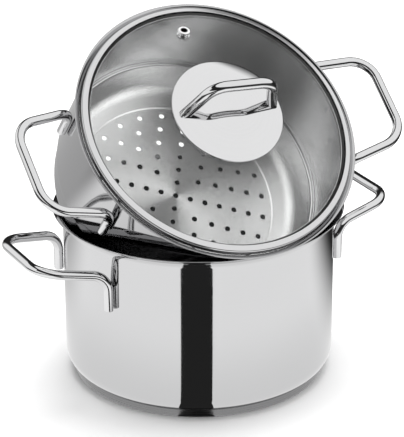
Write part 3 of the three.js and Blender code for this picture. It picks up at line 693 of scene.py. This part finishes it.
floor_paint_tone = node(floor_tree, "Mix", {0: floor_seen, 6: paper_white, 7: black}, data_type="RGBA")
floor_reflection_glow = node(floor_tree, "Mix", {0: floor_seen, 6: black, 7: floor_painted_reflection}, data_type="RGBA")
floor_tree.links.new(floor_paint_tone.outputs[2], floor_shader.inputs["Base Color"])
floor_tree.links.new(floor_reflection_glow.outputs[2], floor_shader.inputs["Emission Color"])
floor_shader.inputs["Emission Strength"].default_value = 1.17
floor_mesh.materials.append(floor_paint)
studio_floor = bpy.data.objects.new("studio_floor", floor_mesh)
bpy.context.collection.objects.link(studio_floor)

world = bpy.data.worlds.new("studio")
bpy.context.scene.world = world
world.use_nodes = True
sky = world.node_tree
sky_way = node(sky, "TexCoord").outputs["Generated"]
sky_path = node(sky, "LightPath").outputs
screen_dark, camera_white = (0.02, 0.02, 0.02, 1), (0.87, 0.87, 0.87, 1)

# In steel the tent is dark round the bright patch that the lid's plate mirrors, and low down at the back.
plate_mirrors = (0.438, -0.262, 0.861)
sky_far, sky_box = along(sky, sky_way, away), along(sky, sky_way, plate_mirrors)
sky_front = fade(sky, sky_far, -0.25, -0.5)
sky_ring = node(sky, "Math", {0: sky_front, 1: 0.32, 2: sky_box}, operation="MULTIPLY_ADD").outputs[0]
sky_dark = join(sky, fade(sky, sky_ring, 0.26, 0.32), fade(sky, sky_box, 0.57, 0.54), "MULTIPLY")
sky_height = along(sky, sky_way, (0, 0, 1))
sky_back = join(sky, fade(sky, sky_far, 0.68, 0.85), fade(sky, sky_height, 0.68, 0.55), "MULTIPLY")
sky_dark = join(sky, sky_dark, sky_back, "MAXIMUM")
# Through the lid the steamer's inside sees a grey strip across the tent and a dark screen at one end of it.
strip_across, strip_along = (-0.632, 0.590, 0.502), (0.774, 0.481, 0.410)
sky_side = size_of(sky, along(sky, sky_way, strip_across))
sky_strip = join(sky, fade(sky, sky_side, 0.3, 0.12), 0.7, "MULTIPLY")
sky_end = along(sky, sky_way, strip_along)
sky_stand = join(sky, fade(sky, sky_side, 0.75, 0.4), fade(sky, sky_end, 0.3, 0.0), "MULTIPLY")
sky_through = sky_path["Is Transmission Ray"]
sky_dark = blend_of(sky, sky_through, sky_dark, join(sky, sky_strip, sky_stand, "MAXIMUM"))
sky_light = blend_of(sky, sky_through, 0.97, 1.2)
sky_tone = node(sky, "Mix", {0: sky_dark, 6: sky_light, 7: screen_dark}, data_type="RGBA").outputs[2]
sky_camera = sky_path["Is Camera Ray"]
sky_tone = node(sky, "Mix", {0: sky_camera, 6: sky_tone, 7: camera_white}, data_type="RGBA").outputs[2]
sky.links.new(sky_tone, sky.nodes["Background"].inputs["Color"])
sky.nodes["Background"].inputs["Strength"].default_value = 1.15


# Two black cards in front that only mirrors see: together they are the dark band on the pot's wall.
def mirror_card(name, corners, height, paint):
    """A flat level card, seen by reflections alone."""
    mesh = bpy.data.meshes.new(name)
    mesh.from_pydata([(x, y, height) for x, y in corners], [], [tuple(range(len(corners)))])
    mesh.materials.append(paint)
    card = bpy.data.objects.new(name, mesh)
    card.visible_camera = card.visible_diffuse = card.visible_shadow = card.visible_transmission = False
    bpy.context.collection.objects.link(card)


card_paint = bpy.data.materials.new("card_black")
card_paint.use_nodes = True
card_shader = card_paint.node_tree.nodes["Principled BSDF"]
card_shader.inputs["Base Color"].default_value = (0, 0, 0, 1)
card_shader.inputs["Emission Color"].default_value = (1, 1, 1, 1)
card_shader.inputs["Emission Strength"].default_value = 0.025
card_shader.inputs["Specular IOR Level"].default_value = 0
card_way, card_across = np.array([-0.497, -0.868]), np.array([0.868, -0.497])
card_reach = np.array([0.09, 0.108, 0.14, 0.50])
card_half = np.array([0.0132, 0.0140, 0.0209, 0.106])
card_sides = [card_reach[:, None] * card_way + hand * card_half[:, None] * card_across for hand in (-1, 1)]
mirror_card("black_wedge", [*card_sides[0], *card_sides[1][::-1]], 0.0001, card_paint)
near_way = np.array([-0.487, -0.8735])
near_reach, near_half = np.array([0.1005, 0.113]), np.array([0.0114, 0.0142])
near_sides = [near_reach[:, None] * near_way + hand * near_half[:, None] * card_across for hand in (-1, 1)]
mirror_card("black_strip", [*near_sides[0], *near_sides[1][::-1]], 0.1, card_paint)
top_lamp = bpy.data.lights.new("top_lamp", "SUN")
top_lamp.angle = math.radians(46)
top_lamp.energy = 2.5
hung_lamp = bpy.data.objects.new("top_lamp", top_lamp)
hung_lamp.rotation_euler = (math.radians(-12), 0, math.radians(-28.5))
hung_lamp.visible_glossy = hung_lamp.visible_transmission = False
bpy.context.collection.objects.link(hung_lamp)

focal_pixels, picture_pixels, sensor_size = 2168, 437, 36
camera_data = bpy.data.cameras.new("photo_camera")
camera_data.lens = focal_pixels * sensor_size / picture_pixels
camera_data.sensor_width = sensor_size
camera_data.clip_end = 50
camera = bpy.data.objects.new("photo_camera", camera_data)
bpy.context.collection.objects.link(camera)
camera.matrix_world = Matrix.Translation((-0.699, -1.293, 0.7505)) @ (
    Matrix.Rotation(math.radians(-28.5), 4, "Z") @ Matrix.Rotation(math.radians(66.64), 4, "X")
    @ Matrix.Rotation(math.radians(-0.22), 4, "Z"))
bpy.context.scene.camera = camera
bpy.context.scene.view_settings.view_transform = "Standard"
bpy.context.scene.cycles.glossy_bounces = 12

bpy.context.view_layer.update()
